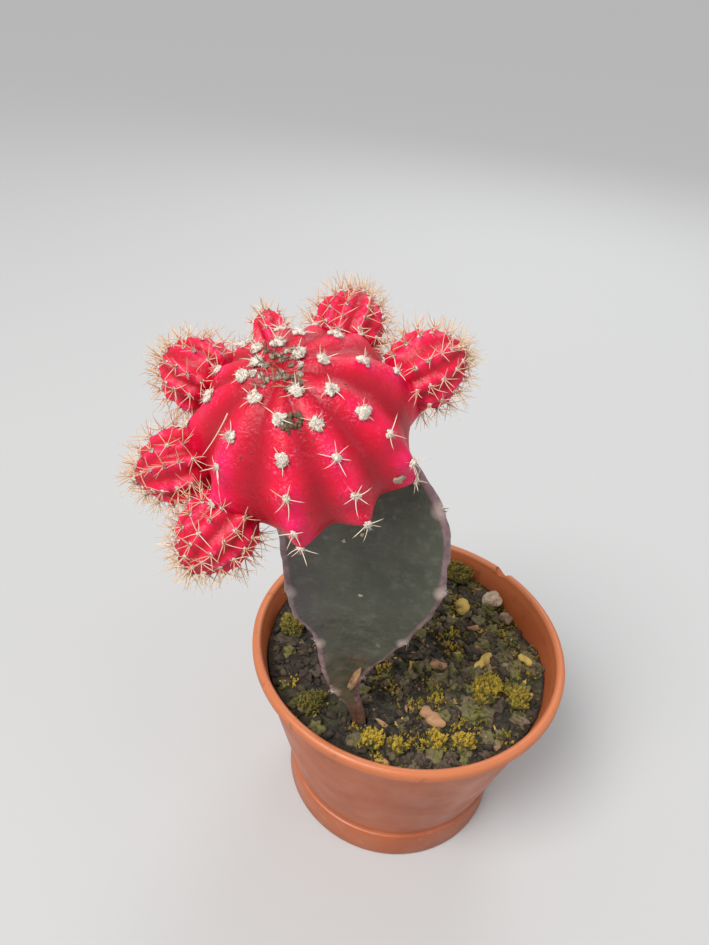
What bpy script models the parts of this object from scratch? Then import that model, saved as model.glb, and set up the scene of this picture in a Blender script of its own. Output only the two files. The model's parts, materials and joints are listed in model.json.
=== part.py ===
"""Potted moon cactus: a red grafted globe cactus with its offsets, on a three-winged green
rootstock, in a small moulded plastic nursery pot filled with a mossy potting mix.

The origin is the centre of the pot's foot, on the surface it stands on, with +Z up. The plant
stands off centre in the pot, and the red globe leans out over its -Y side.
"""

import math

import bmesh
import bpy
from mathutils import Matrix, Vector, noise

MM = 0.001
GAP = 0.3 * MM  # clearance between two pieces that touch

# Pot: a thin shell turned about Z, with a rounded lip and a foot that steps out a little.
POT_RADIUS = 35.0 * MM
POT_HEIGHT = 47.2 * MM
POT_WALL = 0.9 * MM
POT_FLOOR = 1.2 * MM
LIP_THICKNESS = 2.0 * MM
LIP_HEIGHT = 2.2 * MM
BODY_TOP_RADIUS = 33.6 * MM  # outside, just under the lip
BODY_FOOT_RADIUS = 25.0 * MM  # outside, just above the foot
FOOT_RADIUS = 25.6 * MM
FOOT_HEIGHT = 8.0 * MM
FOOT_STEP = 0.6 * MM
DRAIN_COUNT = 4
DRAIN_RADIUS = 2.5 * MM
DRAIN_CIRCLE = 15.0 * MM
CHIP_WIDTH = 3.0 * MM  # a bite broken out of the lip
CHIP_AZIMUTH = math.radians(44.4)
POT_SEGMENTS = 60

# Potting mix: fills the pot to a little under the lip.
MIX_LEVEL = 41.4 * MM
MIX_LUMP = 0.9 * MM
MIX_GRAIN = 6.5 * MM
MIX_RINGS = 11
MIX_SEGMENTS = 48
HOLLOW_AT = Vector((29.0 * MM, 13.0 * MM))  # the mix has sunk here, against the wall
HOLLOW_DEPTH = 3.4 * MM
HOLLOW_REACH = 8.0 * MM

# Rootstock: height, then where its middle stands in X and Y, then the reach of its wings.
STOCK_FOOT = 34.0
STOCK_TOP = 109.0
STOCK_MIDDLE = [  # z, x, y in millimetres
    (34.0, -9.0, -19.4), (43.0, -9.7, -19.2), (48.0, -12.2, -19.0), (55.0, -13.3, -18.6),
    (75.0, -13.2, -17.7), (106.0, -14.5, -16.3), (109.0, -14.6, -16.1),
]
LEFT_WING = [  # z, reach
    (34.0, 1.4), (44.0, 1.7), (49.0, 2.6), (51.0, 3.6), (55.0, 4.9), (59.0, 6.2), (64.0, 7.0),
    (66.7, 7.3), (68.6, 8.2), (72.4, 10.5), (75.5, 12.7), (79.0, 13.2), (86.0, 14.0), (91.0, 14.5),
    (97.0, 15.1), (101.0, 11.5), (106.0, 8.0), (109.0, 6.5),
]
RIGHT_WING = [
    (34.0, 1.4), (44.0, 1.7), (49.0, 1.8), (51.0, 2.2), (56.0, 3.2), (61.0, 6.0), (67.0, 9.6),
    (73.7, 12.8), (79.3, 15.5), (84.2, 17.0), (86.0, 16.9), (89.7, 17.1), (95.0, 17.1), (98.6, 16.4),
    (101.0, 14.8), (104.0, 13.0), (106.0, 10.6), (109.0, 8.6),
]
BACK_WING = [
    (34.0, 1.4), (44.0, 1.7), (49.0, 2.2), (55.0, 4.0), (62.0, 8.0), (68.0, 11.2), (76.0, 14.0),
    (84.0, 15.5), (92.0, 16.2), (98.0, 15.6), (102.0, 12.5), (106.0, 8.4), (109.0, 6.0),
]
WING_EDGE = 1.1  # half the thickness of a wing at its margin, millimetres
FACE_HOLLOW = (0.05, 0.10, 0.10)  # how far each face sinks between two wings, of its width
FACE_STEPS = 6
EDGE_STEPS = 5

# Scion: a ribbed globe with a flatter underside, leaning out over -Y.
SCION_AT = Vector((-23.0, -22.5, 111.8)) * MM
SCION_AXIS = Vector((-0.218, -0.369, 0.904)).normalized()
SCION_RADIUS = 16.1 * MM
SCION_POLE = 13.9 * MM  # from the middle to the crown
SCION_BASE = 9.5 * MM  # from the middle to the underside
RIB_AZIMUTHS = (4, 47, 84, 110, 131, 160, 185, 213, 259, 301, 332)  # degrees about the axis
RIB_TWIST = math.radians(20.0)  # the ribs turn this much further at the crown
RIB_TWIST_FADE = math.radians(27.0)
RIB_DEPTH = 1.7 * MM
TUBERCLE_HEIGHT = 0.9 * MM
TUBERCLE_STEP = math.radians(18.0)
CROWN_DIMPLE = 1.0 * MM
SCION_RINGS = 26
SCION_RIB_STEPS = 6  # segments from one rib to the next

# Offsets: name, azimuth and polar angle about the scion's axis in degrees, distance from its
# middle, radius and length along their own axis in millimetres.
OFFSETS = [
    ("offset_left_upper", 180, 78, 20.4, 5.3, 5.5),
    ("offset_left_middle", 221, 92, 20.2, 5.3, 5.8),
    ("offset_left_lower", 258, 99, 19.6, 5.1, 5.8),
    ("offset_back", 101, 80, 19.6, 5.0, 5.2),
    ("offset_right", 59, 87, 20.9, 5.3, 5.6),
    ("offset_small", 139, 67, 16.5, 2.3, 3.2),
]
OFFSET_RIBS = 7
OFFSET_RIB_DEPTH = 0.5 * MM
OFFSET_TUBERCLE = 0.5 * MM
OFFSET_STEP = math.radians(26.0)
OFFSET_RINGS = 12
OFFSET_RIB_STEPS = 4

# Loose pieces on the mix: name, x, y, half length, half width, height in millimetres, turn in
# degrees.
MOSS = [
    ("moss_front_left", -7.2, -25.2, 2.4, 1.8, 2.0, 20),
    ("moss_front", -2.4, -26.4, 1.9, 1.5, 1.6, 0),
    ("moss_front_right", 5.6, -24.6, 2.5, 1.4, 2.0, -50),
    ("moss_front_far_right", 11.4, -23.6, 2.2, 1.7, 1.8, 25),
    ("moss_right", 17.4, -10.4, 4.2, 2.8, 1.9, 60),
    ("moss_right_wall", 24.2, -11.6, 2.6, 2.2, 1.9, 65),
    ("moss_back", 12.6, 26.4, 4.6, 2.8, 2.6, -25),
    ("moss_left", -26.6, 3.6, 2.4, 3.4, 1.8, 10),
    ("moss_left_front", -20.6, -17.4, 2.8, 2.2, 1.8, 40),
]
CHIPS = [
    ("bark_chip_front", 5.2, -18.4, 2.9, 1.2, 1.1, -40),
    ("bark_chip_middle", 7.0, -4.4, 1.9, 1.1, 1.2, -15),
    ("bark_chip_back", 14.2, 14.6, 2.2, 1.5, 1.5, 75),
    ("husk_curl", 17.4, -2.4, 3.0, 0.9, 1.1, 55),
    ("husk_right", 27.0, -0.8, 1.9, 0.9, 1.1, -55),
]
STONES = [
    ("stone_pale", 21.8, 18.2, 2.5, 2.1, 2.8, 30),
    ("stone_tan", 25.0, 13.4, 1.7, 1.5, 2.0, 0),
]

POT_COLOUR = (0.46, 0.13, 0.05)
MIX_COLOUR = (0.035, 0.028, 0.020)
STOCK_COLOUR = (0.055, 0.075, 0.050)
SCION_COLOUR = (0.62, 0.004, 0.035)
OFFSET_COLOUR = (0.60, 0.010, 0.050)
MOSS_COLOUR = (0.28, 0.27, 0.045)
CHIP_COLOUR = (0.36, 0.20, 0.08)
STONE_COLOUR = (0.42, 0.31, 0.24)


def clear_scene():
    for item in list(bpy.data.objects):
        bpy.data.objects.remove(item, do_unlink=True)


def new_collection(name):
    group = bpy.data.collections.new(name)
    bpy.context.scene.collection.children.link(group)
    return group


def new_material(name, colour, roughness, metallic=0.0):
    material = bpy.data.materials.new(name)
    material.use_nodes = True
    shader = material.node_tree.nodes["Principled BSDF"]
    shader.inputs["Base Color"].default_value = (*colour, 1.0)
    shader.inputs["Roughness"].default_value = roughness
    shader.inputs["Metallic"].default_value = metallic
    return material


def add_part(name, mesh, group, material):
    part = bpy.data.objects.new(name, mesh)
    part.data.materials.append(material)
    group.objects.link(part)
    mesh.shade_smooth()
    mesh.set_sharp_from_angle(angle=math.radians(40))
    return part


def add_cutter(name, mesh, group):
    cutter = bpy.data.objects.new(name, mesh)
    group.objects.link(cutter)
    cutter.hide_render = True
    cutter.display_type = "WIRE"
    return cutter


def cut(part, cutter):
    boolean = part.modifiers.new(cutter.name, "BOOLEAN")
    boolean.operation = "DIFFERENCE"
    boolean.object = cutter
    boolean.solver = "EXACT"


def read_table(rows, z):
    """The values of a table at height z, between its rows."""
    if z <= rows[0][0]:
        return rows[0][1:]
    for low, high in zip(rows, rows[1:]):
        if z <= high[0]:
            t = (z - low[0]) / (high[0] - low[0])
            return tuple(a + (b - a) * t for a, b in zip(low[1:], high[1:]))
    return rows[-1][1:]


def arc(centre, radius, start, end, steps):
    """Points on an arc in the XZ plane, from the start to the end angle in degrees."""
    points = []
    for step in range(steps + 1):
        angle = math.radians(start + (end - start) * step / steps)
        points.append((centre[0] + radius * math.cos(angle), centre[1] + radius * math.sin(angle)))
    return points


def turned(name, profile, segments, group, material):
    """A solid of revolution: its profile starts and ends on the Z axis."""
    mesh = bpy.data.meshes.new(name)
    edges = [(i, i + 1) for i in range(len(profile) - 1)]
    mesh.from_pydata([(r, 0.0, z) for r, z in profile], edges, [])
    part = bpy.data.objects.new(name, mesh)
    group.objects.link(part)
    screw = part.modifiers.new("turn", "SCREW")
    screw.axis = "Z"
    screw.angle = math.tau
    screw.steps = segments
    screw.render_steps = segments
    screw.use_merge_vertices = True
    screw.merge_threshold = 0.00001
    screw.use_smooth_shade = True
    part.data.materials.append(material)
    return part


def inner_wall(z):
    """Inside radius of the pot at height z."""
    t = (z - FOOT_HEIGHT) / (POT_HEIGHT - LIP_HEIGHT - FOOT_HEIGHT)
    return BODY_FOOT_RADIUS + (BODY_TOP_RADIUS - BODY_FOOT_RADIUS) * max(t, 0.0) - POT_WALL


def make_pot(parts, cutters):
    lip_round = LIP_THICKNESS / 2
    lip_middle = (POT_RADIUS - lip_round, POT_HEIGHT - lip_round)
    under_lip = POT_HEIGHT - LIP_HEIGHT
    inside = [
        (0.0, POT_FLOOR),
        (BODY_FOOT_RADIUS - POT_WALL - 1.0 * MM, POT_FLOOR),
        (BODY_FOOT_RADIUS - POT_WALL, POT_FLOOR + 1.0 * MM),
        (BODY_FOOT_RADIUS - POT_WALL, FOOT_HEIGHT),
        (inner_wall(under_lip), under_lip),
    ]
    lip = arc(lip_middle, lip_round, 180, 0, 8)
    outside = [
        (POT_RADIUS - 0.1 * MM, under_lip + 0.3 * MM),
        (POT_RADIUS - 0.5 * MM, under_lip),
        (BODY_TOP_RADIUS + 0.2 * MM, under_lip),
        (BODY_TOP_RADIUS, under_lip - 0.3 * MM),
        (BODY_FOOT_RADIUS, FOOT_HEIGHT + 0.4 * MM),
        (BODY_FOOT_RADIUS + FOOT_STEP * 0.7, FOOT_HEIGHT),
        (BODY_FOOT_RADIUS + FOOT_STEP, FOOT_HEIGHT - 0.5 * MM),
        (FOOT_RADIUS, 0.6 * MM),
        (FOOT_RADIUS - 0.6 * MM, 0.0),
        (0.0, 0.0),
    ]
    plastic = new_material("plastic", POT_COLOUR, 0.42)
    pot = turned("pot", inside + lip + outside, POT_SEGMENTS, parts, plastic)
    for index in range(DRAIN_COUNT):
        angle = math.tau * (index + 0.5) / DRAIN_COUNT
        form = bmesh.new()
        bmesh.ops.create_cone(
            form, cap_ends=True, segments=20, radius1=DRAIN_RADIUS, radius2=DRAIN_RADIUS, depth=8 * MM,
            matrix=Matrix.Rotation(angle, 4, "Z") @ Matrix.Translation((DRAIN_CIRCLE, 0.0, 0.0)))
        mesh = bpy.data.meshes.new(f"drain_{index + 1}")
        form.to_mesh(mesh)
        form.free()
        cut(pot, add_cutter(f"drain_{index + 1}", mesh, cutters))
    form = bmesh.new()
    place = Matrix.Rotation(CHIP_AZIMUTH, 4, "Z") @ Matrix.Translation((POT_RADIUS, 0.0, POT_HEIGHT))
    tilt = Matrix.Rotation(math.radians(45), 4, "X")
    side = CHIP_WIDTH / math.sqrt(2)
    bmesh.ops.create_cube(form, size=1.0, matrix=place @ tilt @ Matrix.Diagonal((8 * MM, side, side, 1.0)))
    mesh = bpy.data.meshes.new("lip_chip")
    form.to_mesh(mesh)
    form.free()
    cut(pot, add_cutter("lip_chip", mesh, cutters))
    return pot


def mix_height(x, y):
    """Height of the mix's lumpy top."""
    coarse = noise.noise(Vector((x, y, 0.0)) / MIX_GRAIN)
    fine = noise.noise(Vector((x, y, 0.01)) * 2.3 / MIX_GRAIN)
    sunk = (Vector((x, y)) - HOLLOW_AT).length / HOLLOW_REACH
    hollow = HOLLOW_DEPTH * math.exp(-sunk * sunk)
    return MIX_LEVEL + MIX_LUMP * (coarse + 0.5 * fine) - hollow


def make_mix(parts, stock_cutter):
    base = POT_FLOOR + GAP
    foot = BODY_FOOT_RADIUS - POT_WALL - GAP
    rim = inner_wall(MIX_LEVEL) - GAP
    top = [(rim * ring / MIX_RINGS, MIX_LEVEL) for ring in range(MIX_RINGS + 1)]
    profile = top + [(foot, FOOT_HEIGHT), (foot, base + 1.0 * MM), (foot - 1.0 * MM, base), (0.0, base)]
    mix = turned("potting_mix", profile, MIX_SEGMENTS, parts, new_material("mix", MIX_COLOUR, 0.95))
    bpy.context.view_layer.update()
    solid = mix.evaluated_get(bpy.context.evaluated_depsgraph_get())
    mesh = bpy.data.meshes.new_from_object(solid)
    mix.modifiers.clear()
    mix.data = mesh
    for vertex in mesh.vertices:
        if vertex.co.z > MIX_LEVEL - 0.1 * MM:
            x, y, _ = vertex.co
            vertex.co.z = mix_height(x, y)
            reach = math.hypot(x, y)
            limit = inner_wall(vertex.co.z) - GAP
            if reach > limit:
                vertex.co.x = x * limit / reach
                vertex.co.y = y * limit / reach
    tops = [vertex.co.copy() for vertex in mesh.vertices if vertex.co.z > MIX_LEVEL - 6 * MM]
    cut(mix, stock_cutter)
    return tops


def stock_ring(z, grow):
    """The outline of the three-winged stem at height z, all in millimetres."""
    x, y = read_table(STOCK_MIDDLE, z)
    middle = Vector((x, y))
    reaches = [read_table(table, z)[0] + grow for table in (LEFT_WING, RIGHT_WING, BACK_WING)]
    edges = []
    for reach, bearing in zip(reaches, (210, 330, 450)):
        along = Vector((math.cos(math.radians(bearing)), math.sin(math.radians(bearing))))
        across = Vector((-along.y, along.x))
        half = min(WING_EDGE + grow, 0.55 * reach)
        edge = []
        for step in range(EDGE_STEPS):
            angle = math.radians(-90 + 180 * step / (EDGE_STEPS - 1))
            outward = reach - half + half * math.cos(angle)
            edge.append(middle + along * outward + across * half * math.sin(angle))
        edges.append(edge)
    ring = []
    for index, edge in enumerate(edges):
        ring.extend(edge)
        start = edge[-1]
        end = edges[(index + 1) % 3][0]
        sink = (middle - (start + end) / 2).normalized() * (end - start).length * FACE_HOLLOW[index]
        for step in range(1, FACE_STEPS):
            t = step / FACE_STEPS
            ring.append(start.lerp(end, t) + sink * 4 * t * (1 - t))
    return [Vector((point.x * MM, point.y * MM, z * MM)) for point in ring]


def loft(name, rings):
    """A closed skin over a stack of rings with the same number of points."""
    form = bmesh.new()
    rows = [[form.verts.new(point) for point in ring] for ring in rings]
    count = len(rows[0])
    for low, high in zip(rows, rows[1:]):
        for index in range(count):
            following = (index + 1) % count
            form.faces.new((low[index], low[following], high[following], high[index]))
    for row, upward in ((rows[0], False), (rows[-1], True)):
        middle = form.verts.new(sum((vertex.co for vertex in row), Vector()) / count)
        for index in range(count):
            pair = (row[index], row[(index + 1) % count])
            form.faces.new((*pair, middle) if upward else (*reversed(pair), middle))
    bmesh.ops.recalc_face_normals(form, faces=form.faces)
    mesh = bpy.data.meshes.new(name)
    form.to_mesh(mesh)
    form.free()
    return mesh


def stock_mesh(name, grow):
    heights = sorted({row[0] for table in (LEFT_WING, RIGHT_WING, BACK_WING) for row in table})
    rings = [stock_ring(z, grow) for z in heights if STOCK_FOOT < z < STOCK_TOP]
    foot = stock_ring(STOCK_FOOT, grow)
    crown = stock_ring(STOCK_TOP, grow)
    for point in foot:
        point.z -= grow * MM
    for point in crown:
        point.z += grow * MM
    return loft(name, [foot] + rings + [crown])


def axis_frame(axis):
    """Axes whose Z is the given one and whose X lies level."""
    level = Vector((0.0, 0.0, 1.0)).cross(axis).normalized()
    return Matrix((level, axis.cross(level), axis)).transposed()


def crown_angle(turn, azimuths):
    """Azimuth at a number of ribs round from the first, with the ribs unevenly spaced."""
    count = len(azimuths)
    rib = int(math.floor(turn)) % count
    start = azimuths[rib]
    end = azimuths[(rib + 1) % count]
    if end < start:
        end += 360
    return math.radians(start + (end - start) * (turn - math.floor(turn)))


def globe_mesh(name, place, size, azimuths, steps, relief, grow=0.0, twist=0.0):
    """A ribbed globe.

    size is its radius and its heights from the middle to the pole and to the underside, steps are
    its rings and its segments for each rib, and relief is the rib depth, tubercle height,
    tubercle step and dimple.
    """
    radius, pole, base = size
    rings, rib_steps = steps
    rib_depth, tubercle, spacing, dimple = relief
    count = len(azimuths)
    form = bmesh.new()
    bmesh.ops.create_uvsphere(form, u_segments=count * rib_steps, v_segments=rings, radius=1.0)
    for vertex in form.verts:
        polar = math.acos(max(-1.0, min(1.0, vertex.co.z)))
        turn = (math.atan2(vertex.co.y, vertex.co.x) / math.tau * count) % count
        offset = abs(turn - round(turn)) * 2
        fade = math.sin(polar) ** 0.7 if 0.001 < polar < math.pi - 0.001 else 0.0
        crest = 1 - offset ** 1.5
        stagger = 0.5 if round(turn) % 2 else 0.0
        bump = 0.5 + 0.5 * math.cos(math.tau * (polar / spacing - stagger))
        half_height = pole if polar < math.pi / 2 else base
        reach = 1 / math.hypot(math.sin(polar) / radius, math.cos(polar) / half_height)
        reach += fade * (tubercle * crest * crest * bump - rib_depth * (1 - crest))
        reach += grow - dimple * math.exp(-((polar / 0.28) ** 2))
        azimuth = crown_angle(turn, azimuths) + twist * math.exp(-((polar / RIB_TWIST_FADE) ** 2))
        vertex.co = Vector((
            reach * math.sin(polar) * math.cos(azimuth),
            reach * math.sin(polar) * math.sin(azimuth),
            reach * math.cos(polar)))
    bmesh.ops.transform(form, matrix=place, verts=form.verts)
    mesh = bpy.data.meshes.new(name)
    form.to_mesh(mesh)
    form.free()
    return mesh


def scion_mesh(name, grow):
    place = Matrix.Translation(SCION_AT) @ axis_frame(SCION_AXIS).to_4x4()
    relief = (RIB_DEPTH, TUBERCLE_HEIGHT, TUBERCLE_STEP, CROWN_DIMPLE)
    size = (SCION_RADIUS, SCION_POLE, SCION_BASE)
    steps = (SCION_RINGS, SCION_RIB_STEPS)
    return globe_mesh(name, place, size, RIB_AZIMUTHS, steps, relief, grow, RIB_TWIST)


def make_offsets(parts, scion_cutter):
    frame = axis_frame(SCION_AXIS)
    azimuths = [360 * rib / OFFSET_RIBS for rib in range(OFFSET_RIBS)]
    relief = (OFFSET_RIB_DEPTH, OFFSET_TUBERCLE, OFFSET_STEP, 0.0)
    steps = (OFFSET_RINGS, OFFSET_RIB_STEPS)
    material = new_material("offset_skin", OFFSET_COLOUR, 0.45)
    for name, azimuth, polar, distance, radius, pole in OFFSETS:
        a = math.radians(azimuth)
        p = math.radians(polar)
        outward = frame @ Vector((math.sin(p) * math.cos(a), math.sin(p) * math.sin(a), math.cos(p)))
        at = SCION_AT + outward * distance * MM
        place = Matrix.Translation(at) @ axis_frame(outward).to_4x4()
        size = (radius * MM, pole * MM, pole * MM)
        mesh = globe_mesh(name, place, size, azimuths, steps, relief)
        cut(add_part(name, mesh, parts, material), scion_cutter)


def resting_height(tops, x, y, reach):
    """The highest that the mix stands under a piece, and a little clearance."""
    near = [top.z for top in tops if math.hypot(top.x - x, top.y - y) < reach + 3.2 * MM]
    return max(near) + GAP


def make_lumps(rows, parts, tops, material, roughness, detail):
    """Irregular lumps with a flat underside, resting on the mix."""
    for index, (name, x, y, length, width, height, turn) in enumerate(rows):
        form = bmesh.new()
        bmesh.ops.create_icosphere(form, subdivisions=detail, radius=1.0)
        base = resting_height(tops, x * MM, y * MM, max(length, width) * MM)
        spin = Matrix.Rotation(math.radians(turn), 3, "Z")
        for vertex in form.verts:
            way = vertex.co.normalized()
            swell = 1 + roughness * noise.noise(way * 1.7 + Vector((index * 3.1, 0.0, 0.0)))
            point = spin @ Vector((way.x * length * swell, way.y * width * swell, 0.0))
            rise = max(way.z * swell, -0.35) + 0.35
            vertex.co = Vector((x + point.x, y + point.y, 0.0)) * MM
            vertex.co.z = base + rise / 1.35 * height * MM
        mesh = bpy.data.meshes.new(name)
        form.to_mesh(mesh)
        form.free()
        add_part(name, mesh, parts, material)


def make_chips(parts, tops, material):
    """Flakes of bark and husk, lying flat and a little curled."""
    for name, x, y, length, width, height, turn in CHIPS:
        base = resting_height(tops, x * MM, y * MM, length * MM)
        form = bmesh.new()
        bmesh.ops.create_cube(form, size=2.0)
        long_edges = [e for e in form.edges if abs(e.verts[0].co.x - e.verts[1].co.x) > 1]
        bmesh.ops.subdivide_edges(form, edges=long_edges, cuts=4, use_grid_fill=True)
        spin = Matrix.Rotation(math.radians(turn), 3, "Z")
        for vertex in form.verts:
            t = vertex.co.x
            taper = 1 - 0.35 * t * t
            curl = 0.35 * t * t * width
            flat = spin @ Vector((t * length, vertex.co.y * width * taper + curl, 0.0))
            rise = (vertex.co.z + 1) / 2 * height * (1 - 0.3 * t * t)
            vertex.co = Vector(((x + flat.x) * MM, (y + flat.y) * MM, base + rise * MM))
        mesh = bpy.data.meshes.new(name)
        form.to_mesh(mesh)
        form.free()
        part = add_part(name, mesh, parts, material)
        bevel = part.modifiers.new("worn edges", "BEVEL")
        bevel.width = 0.25 * MM
        bevel.segments = 1
        bevel.angle_limit = math.radians(50)


def main():
    clear_scene()
    parts = new_collection("potted_moon_cactus")
    cutters = new_collection("cutters")
    clearance = 1.4 * GAP / MM
    stock_room = stock_mesh("rootstock_clearance", clearance)
    stock_cutter = add_cutter("rootstock_clearance", stock_room, cutters)
    scion_room = scion_mesh("scion_clearance", 1.3 * GAP)
    scion_cutter = add_cutter("scion_clearance", scion_room, cutters)
    make_pot(parts, cutters)
    tops = make_mix(parts, stock_cutter)
    stock_skin = new_material("stock_skin", STOCK_COLOUR, 0.55)
    add_part("rootstock", stock_mesh("rootstock", 0.0), parts, stock_skin)
    scion_skin = new_material("scion_skin", SCION_COLOUR, 0.4)
    scion = add_part("scion", scion_mesh("scion", 0.0), parts, scion_skin)
    cut(scion, stock_cutter)
    make_offsets(parts, scion_cutter)
    make_lumps(MOSS, parts, tops, new_material("moss", MOSS_COLOUR, 0.95), 0.35, 2)
    make_chips(parts, tops, new_material("bark", CHIP_COLOUR, 0.85))
    make_lumps(STONES, parts, tops, new_material("stone", STONE_COLOUR, 0.8), 0.25, 2)


main()
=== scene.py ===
"""Looks of the potted moon cactus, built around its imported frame."""

import json
import math
import random

import bmesh
import bpy
import numpy as np
from mathutils import Matrix, Vector, noise
from mathutils.bvhtree import BVHTree

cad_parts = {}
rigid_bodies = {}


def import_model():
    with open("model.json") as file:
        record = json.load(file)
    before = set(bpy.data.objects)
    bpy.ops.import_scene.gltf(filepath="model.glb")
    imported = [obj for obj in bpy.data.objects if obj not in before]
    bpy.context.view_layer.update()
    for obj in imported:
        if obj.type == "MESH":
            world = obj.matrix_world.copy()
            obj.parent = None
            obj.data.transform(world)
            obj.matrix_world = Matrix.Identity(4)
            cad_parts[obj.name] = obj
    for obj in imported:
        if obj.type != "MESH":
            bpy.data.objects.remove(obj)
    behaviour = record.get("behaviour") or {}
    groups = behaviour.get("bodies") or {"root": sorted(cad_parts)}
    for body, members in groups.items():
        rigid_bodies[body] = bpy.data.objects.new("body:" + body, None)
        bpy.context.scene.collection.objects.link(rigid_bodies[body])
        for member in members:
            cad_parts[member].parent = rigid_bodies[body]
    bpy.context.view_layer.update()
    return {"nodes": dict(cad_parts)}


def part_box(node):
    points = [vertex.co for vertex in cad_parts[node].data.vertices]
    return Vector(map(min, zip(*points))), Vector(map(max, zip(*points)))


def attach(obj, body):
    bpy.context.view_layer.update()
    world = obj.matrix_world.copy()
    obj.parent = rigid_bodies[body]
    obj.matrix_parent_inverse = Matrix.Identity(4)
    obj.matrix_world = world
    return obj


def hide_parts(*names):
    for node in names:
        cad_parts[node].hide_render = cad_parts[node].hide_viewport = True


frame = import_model()
nodes = frame["nodes"]


# ---------------------------------------------------------------------------------------------
# The studio: a wide pale floor under an even pale sky, a broad sun and a large soft light high at
# the front left, weaker ones at the right and behind, and a camera close above the plant.
def deselect_all():
    bpy.ops.object.select_all(action="DESELECT")


CAMERA_PLACE = (-0.0154, -0.1116, 0.1676)
CAMERA_DOWN = math.radians(34.8)
CAMERA_ROLL = math.radians(5.0)
CAMERA_LENS = 27.05

camera_data = bpy.data.cameras.new("camera")
camera_data.lens = CAMERA_LENS
camera_data.sensor_width = 36.0
camera_data.clip_start = 0.005
camera = bpy.data.objects.new("camera", camera_data)
bpy.context.scene.collection.objects.link(camera)
camera.matrix_world = (
    Matrix.Translation(CAMERA_PLACE)
    @ Matrix.Rotation(math.pi / 2 - CAMERA_DOWN, 4, "X")
    @ Matrix.Rotation(CAMERA_ROLL, 4, "Z"))
bpy.context.scene.camera = camera
bpy.context.scene.view_settings.view_transform = "Standard"


def soft_light(name, place, aim, size, power, colour):
    lamp = bpy.data.lights.new(name, "AREA")
    lamp.shape = "DISK"
    lamp.size = size
    lamp.energy = power
    lamp.color = colour
    holder = bpy.data.objects.new(name, lamp)
    bpy.context.scene.collection.objects.link(holder)
    holder.location = place
    holder.rotation_euler = (Vector(aim) - Vector(place)).to_track_quat("-Z", "Y").to_euler()


soft_light("key_light", (-0.30, -0.30, 0.62), (-0.01, -0.01, 0.09), 0.30, 2.4, (1.0, 0.98, 0.95))
soft_light("fill_light", (0.55, -0.25, 0.35), (0.0, 0.0, 0.06), 0.45, 0.6, (0.95, 0.97, 1.0))
soft_light("back_light", (0.15, 0.55, 0.50), (0.0, 0.0, 0.08), 0.35, 1.3, (0.96, 0.98, 1.0))

SKY = 0.47
FLOOR_SHADE = 0.50
SUN_RISE = math.radians(55)
sun_data = bpy.data.lights.new("broad_sun", "SUN")
sun_data.angle = math.radians(30)
sun_data.energy = math.pi * SKY * (1.0 - FLOOR_SHADE) / FLOOR_SHADE / math.sin(SUN_RISE)
sun = bpy.data.objects.new("broad_sun", sun_data)
bpy.context.scene.collection.objects.link(sun)
sun.rotation_euler = (math.pi / 2 - SUN_RISE, 0.0, math.radians(-45))

world = bpy.data.worlds.new("studio")
world.use_nodes = True
world.node_tree.nodes["Background"].inputs["Color"].default_value = (1.0, 1.0, 1.0, 1.0)
world.node_tree.nodes["Background"].inputs["Strength"].default_value = SKY
bpy.context.scene.world = world

deselect_all()
bpy.ops.mesh.primitive_plane_add(size=400.0, location=(0.0, 0.0, 0.0))
floor = bpy.context.object
floor.name = "studio_floor"
floor_paint = bpy.data.materials.new("floor_paint")
floor_paint.use_nodes = True
paint = floor_paint.node_tree.nodes["Principled BSDF"]
paint.inputs["Base Color"].default_value = (FLOOR_SHADE, FLOOR_SHADE, FLOOR_SHADE, 1.0)
paint.inputs["Roughness"].default_value = 1.0
paint.inputs["Specular IOR Level"].default_value = 0.0
floor.data.materials.append(floor_paint)


# ---------------------------------------------------------------------------------------------
# Pot: a thin terracotta-orange nursery pot, moulded in one piece, with a rolled lip, a foot that
# steps out, four drain holes and a bite broken out of the lip.
def start_finish(name, roughness):
    """A new material, its nodes and links, its shader and its Object coordinates."""
    material = bpy.data.materials.new(name)
    material.use_nodes = True
    tree = material.node_tree
    shader = tree.nodes["Principled BSDF"]
    shader.inputs["Roughness"].default_value = roughness
    place = tree.nodes.new("ShaderNodeTexCoord").outputs["Object"]
    return material, tree, shader, place


def plug(tree, value, socket):
    """Sets a socket to a plain value, or links another socket to it."""
    if isinstance(value, bpy.types.NodeSocket):
        tree.links.new(value, socket)
    elif isinstance(value, tuple):
        socket.default_value = (*value, 1.0)
    else:
        socket.default_value = value


def cloud(tree, place, scale, low, high, detail=3.0, roughness=0.55):
    """A noise pattern from 0 to 1, with its contrast set by the two levels."""
    pattern = tree.nodes.new("ShaderNodeTexNoise")
    pattern.inputs["Scale"].default_value = scale
    pattern.inputs["Detail"].default_value = detail
    pattern.inputs["Roughness"].default_value = roughness
    tree.links.new(place, pattern.inputs["Vector"])
    return spread(tree, pattern.outputs["Fac"], low, high)


def spread(tree, value, low, high, start=0.0, end=1.0):
    """Stretches the range between two levels to the range from start to end."""
    stretch = tree.nodes.new("ShaderNodeMapRange")
    tree.links.new(value, stretch.inputs["Value"])
    stretch.inputs["From Min"].default_value = low
    stretch.inputs["From Max"].default_value = high
    stretch.inputs["To Min"].default_value = start
    stretch.inputs["To Max"].default_value = end
    return stretch.outputs["Result"]


def tint(tree, amount, first, second):
    """Mixes two colours, each a plain one or a socket."""
    mixer = tree.nodes.new("ShaderNodeMix")
    mixer.data_type = "RGBA"
    plug(tree, amount, mixer.inputs[0])
    plug(tree, first, mixer.inputs[6])
    plug(tree, second, mixer.inputs[7])
    return mixer.outputs[2]


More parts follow.
